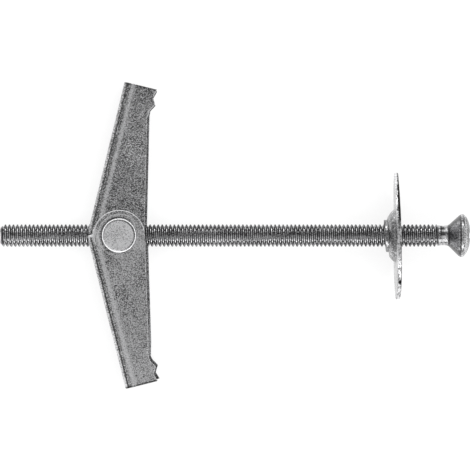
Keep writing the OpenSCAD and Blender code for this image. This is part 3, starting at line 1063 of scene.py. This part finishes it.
def make_spring():
    """Coils that stay on the nut, and legs that go with the wings from the coils' ends."""
    # The wire runs along the open rear wing, inside its web
    c, d = cos(WING_LEAN), sin(WING_LEAN)
    leg_end = Vector((LEG_LEN * d - LEG_N * c, LEG_LEN * c + LEG_N * d, 0))
    root_angle = atan2(leg_end.y, leg_end.x) + acos(COIL_R / leg_end.length)
    root = Vector((COIL_R * cos(root_angle), COIL_R * sin(root_angle), 0))
    run = (leg_end - root).normalized()
    sweep = 4 * pi + 2 * (pi - root_angle)
    in_z = LEG_OUT_Z - COIL_PITCH * sweep / (2 * pi)
    # Each leg's piece also holds the coil's last stretch, so that no gap opens as a wing folds
    spare = radians(84)
    leg_wire = WIRE_D * 0.99

    def coil_point(turned_by, side):
        a = -root_angle - turned_by
        z = LEG_OUT_Z - (LEG_OUT_Z - in_z) * turned_by / sweep
        return Vector((COIL_R * cos(a), COIL_R * sin(a), side * z))

    coils = []
    free_legs = []
    bridge_halves = []
    for side in (1, -1):
        coils.append(wire([coil_point(sweep * i / 150, side) for i in range(151)], WIRE_D))
        free_end = Vector((leg_end.x, -leg_end.y, side * LEG_OUT_Z))
        free_root = Vector((root.x, -root.y, side * LEG_OUT_Z))
        leg = [free_end.lerp(free_root, i / 8) for i in range(8)]
        leg += [coil_point(spare * i / 16, side) for i in range(17)]
        free_legs.append(wire(leg, leg_wire))
        half = [coil_point(sweep - spare + spare * i / 16, side) for i in range(17)]
        for i in range(1, 9):
            p = root.lerp(leg_end - run * BRIDGE_R, i / 8)
            half.append(Vector((p.x, p.y, side * in_z)))
        for i in range(1, 9):
            a = pi / 2 * i / 8
            p = leg_end - run * BRIDGE_R * (1 - sin(a))
            half.append(Vector((p.x, p.y, side * (in_z - BRIDGE_R * (1 - cos(a))))))
        bridge_halves.append(half)
    bridge = wire(bridge_halves[0] + bridge_halves[1][::-1], leg_wire)
    for name, parts, body, replaced in (
        ("spring_coils", coils, "nut", ["torsion_spring"]),
        ("spring_front_legs", free_legs, "front_wing", []),
        ("spring_bridge", [bridge], "rear_wing", []),
    ):
        piece = placed(name, new_mesh(name, *joined(parts)))
        dress(piece, body, [wire_zinc], replaced)


make_spring()


# -------- floor, light and camera

def white_seen(tree, shaded, shade_share):
    """Mixes white into what the camera, gloss and glass see, over a share of the shaded surface."""
    path = node_of(tree, "LightPath")
    seen = path.outputs["Is Camera Ray"]
    for kind in ("Is Glossy Ray", "Is Transmission Ray"):
        either = node_of(tree, "Math", [(0, seen), (1, path.outputs[kind])], operation="MAXIMUM")
        seen = either.outputs[0]
    share = node_of(tree, "Math", [(0, seen), (1, 1 - shade_share)], operation="MULTIPLY")
    return node_of(tree, "MixShader", [
        ("Fac", share.outputs[0]), (1, shaded), (2, white_glow(tree, 1.0))]).outputs[0]


def white_glow(tree, strength):
    return node_of(tree, "Emission", [("Color", (1, 1, 1, 1)), ("Strength", strength)]).outputs[0]


def bare_mesh(name, points, faces):
    """A mesh in metres with a new material, and that material's nodes, none yet."""
    mesh = bpy.data.meshes.new(name)
    mesh.from_pydata(points, [], faces)
    material = bpy.data.materials.new(name)
    material.use_nodes = True
    material.node_tree.nodes.clear()
    mesh.materials.append(material)
    return mesh, material.node_tree


def make_floor():
    size = 4.0
    steps = 8
    row = steps + 1
    marks = [size * (i / steps - 0.5) for i in range(row)]
    points = [(x, y, 0.0) for y in marks for x in marks]
    corners = [i * row + j for i in range(steps) for j in range(steps)]
    faces = [(a, a + 1, a + row + 1, a + row) for a in corners]
    mesh, tree = bare_mesh("floor", points, faces)
    plain = node_of(tree, "BsdfDiffuse", [("Color", (0.9, 0.9, 0.9, 1))])
    node_of(tree, "OutputMaterial", [("Surface", white_seen(tree, plain.outputs[0], 0.24))])
    placed("floor", mesh)


def make_world():
    world = bpy.data.worlds.new("studio")
    bpy.context.scene.world = world
    world.use_nodes = True
    tree = world.node_tree
    tree.nodes.clear()
    soft = node_of(tree, "Background", [("Color", (1, 1, 1, 1)), ("Strength", 0.45)])
    node_of(tree, "OutputWorld", [("Surface", white_seen(tree, soft.outputs[0], 0.0))])


def area_lamp(name, place, aim, size, power):
    light = bpy.data.lights.new(name, "AREA")
    light.shape = "RECTANGLE"
    light.size, light.size_y = size
    light.energy = power
    lamp = placed(name, light)
    lamp.location = place
    lamp.rotation_euler = (Vector(aim) - Vector(place)).to_track_quat("-Z", "Y").to_euler()
    lamp.visible_camera = False
    return lamp


def make_card(name, place, size, low, high):
    """A plain card over the camera that the metal mirrors, darker at the far side."""
    w, h = size[0] / 2, size[1] / 2
    mesh, tree = bare_mesh(name, [(-w, -h, 0), (w, -h, 0), (w, h, 0), (-w, h, 0)], [(0, 1, 2, 3)])
    across = node_of(tree, "SeparateXYZ", [("Vector", node_of(tree, "TexCoord").outputs["Object"])])
    level = node_of(tree, "MapRange", [
        ("Value", across.outputs["Y"]), ("From Min", -h), ("From Max", h),
        ("To Min", high), ("To Max", low)])
    glow = white_glow(tree, level.outputs["Result"])
    node_of(tree, "OutputMaterial", [("Surface", glow)])
    card = placed(name, mesh)
    card.location = place
    card.visible_camera = False


def make_wall():
    """A low dark wall round the table, which gives curved metal its dark line at the horizon."""
    sides, radius, height = 48, 1.5, 0.3
    points = []
    for z in (0.0, height):
        for k in range(sides):
            a = 2 * pi * k / sides
            points.append((radius * cos(a), radius * sin(a), z))
    mesh, tree = bare_mesh("wall", points, grid_faces(2, sides))
    node_of(tree, "OutputMaterial", [("Surface", white_glow(tree, 0.1))])
    wall = placed("wall", mesh)
    wall.visible_camera = False
    wall.visible_diffuse = False
    wall.visible_shadow = False


make_floor()
make_world()
make_wall()
make_card("near_card", (0, 0, 0.9), (0.7, 0.7), 0.46, 0.58)
make_card("wide_card", (0, 0, 0.95), (2.8, 1.8), 0.25, 0.5)
top_lamp = area_lamp("top_lamp", (0, 0, 0.8), (0, 0, 0), (0.8, 0.8), 9.0)
top_lamp.visible_glossy = False
area_lamp("far_strip", (0.02, 0.42, 0.2), (0, 0, 0.01), (0.7, 0.2), 0.45)
area_lamp("near_strip", (0.02, -0.42, 0.2), (0, 0, 0.01), (0.7, 0.2), 0.55)

# The camera looks along the pivot, a shade from the head's side, with the screw level
VIEW_YAW = radians(1.3)
VIEW_DISTANCE = 600.0
PIXELS_PER_MM = 5.757
PICTURE_PIXELS = 470
SENSOR_WIDTH = 36.0
AIM = Vector((19.93, 0.09, 0))
look_from = Vector((sin(VIEW_YAW), 0, cos(VIEW_YAW)))
back = (TURNED_DOWN.to_3x3() @ look_from).normalized()
up = (TURNED_DOWN.to_3x3() @ Vector((0, 1, 0))).normalized()
right = up.cross(back).normalized()
facing = Matrix((right, back.cross(right), back)).transposed().to_4x4()
camera_data = bpy.data.cameras.new("camera")
camera_data.sensor_width = SENSOR_WIDTH
camera_data.lens = PIXELS_PER_MM * VIEW_DISTANCE * SENSOR_WIDTH / PICTURE_PIXELS
camera_data.clip_start = 0.01
camera = placed("camera", camera_data)
camera.matrix_world = Matrix.Translation(LAID @ (AIM + look_from * VIEW_DISTANCE)) @ facing
bpy.context.scene.camera = camera
bpy.context.scene.view_settings.view_transform = "Standard"
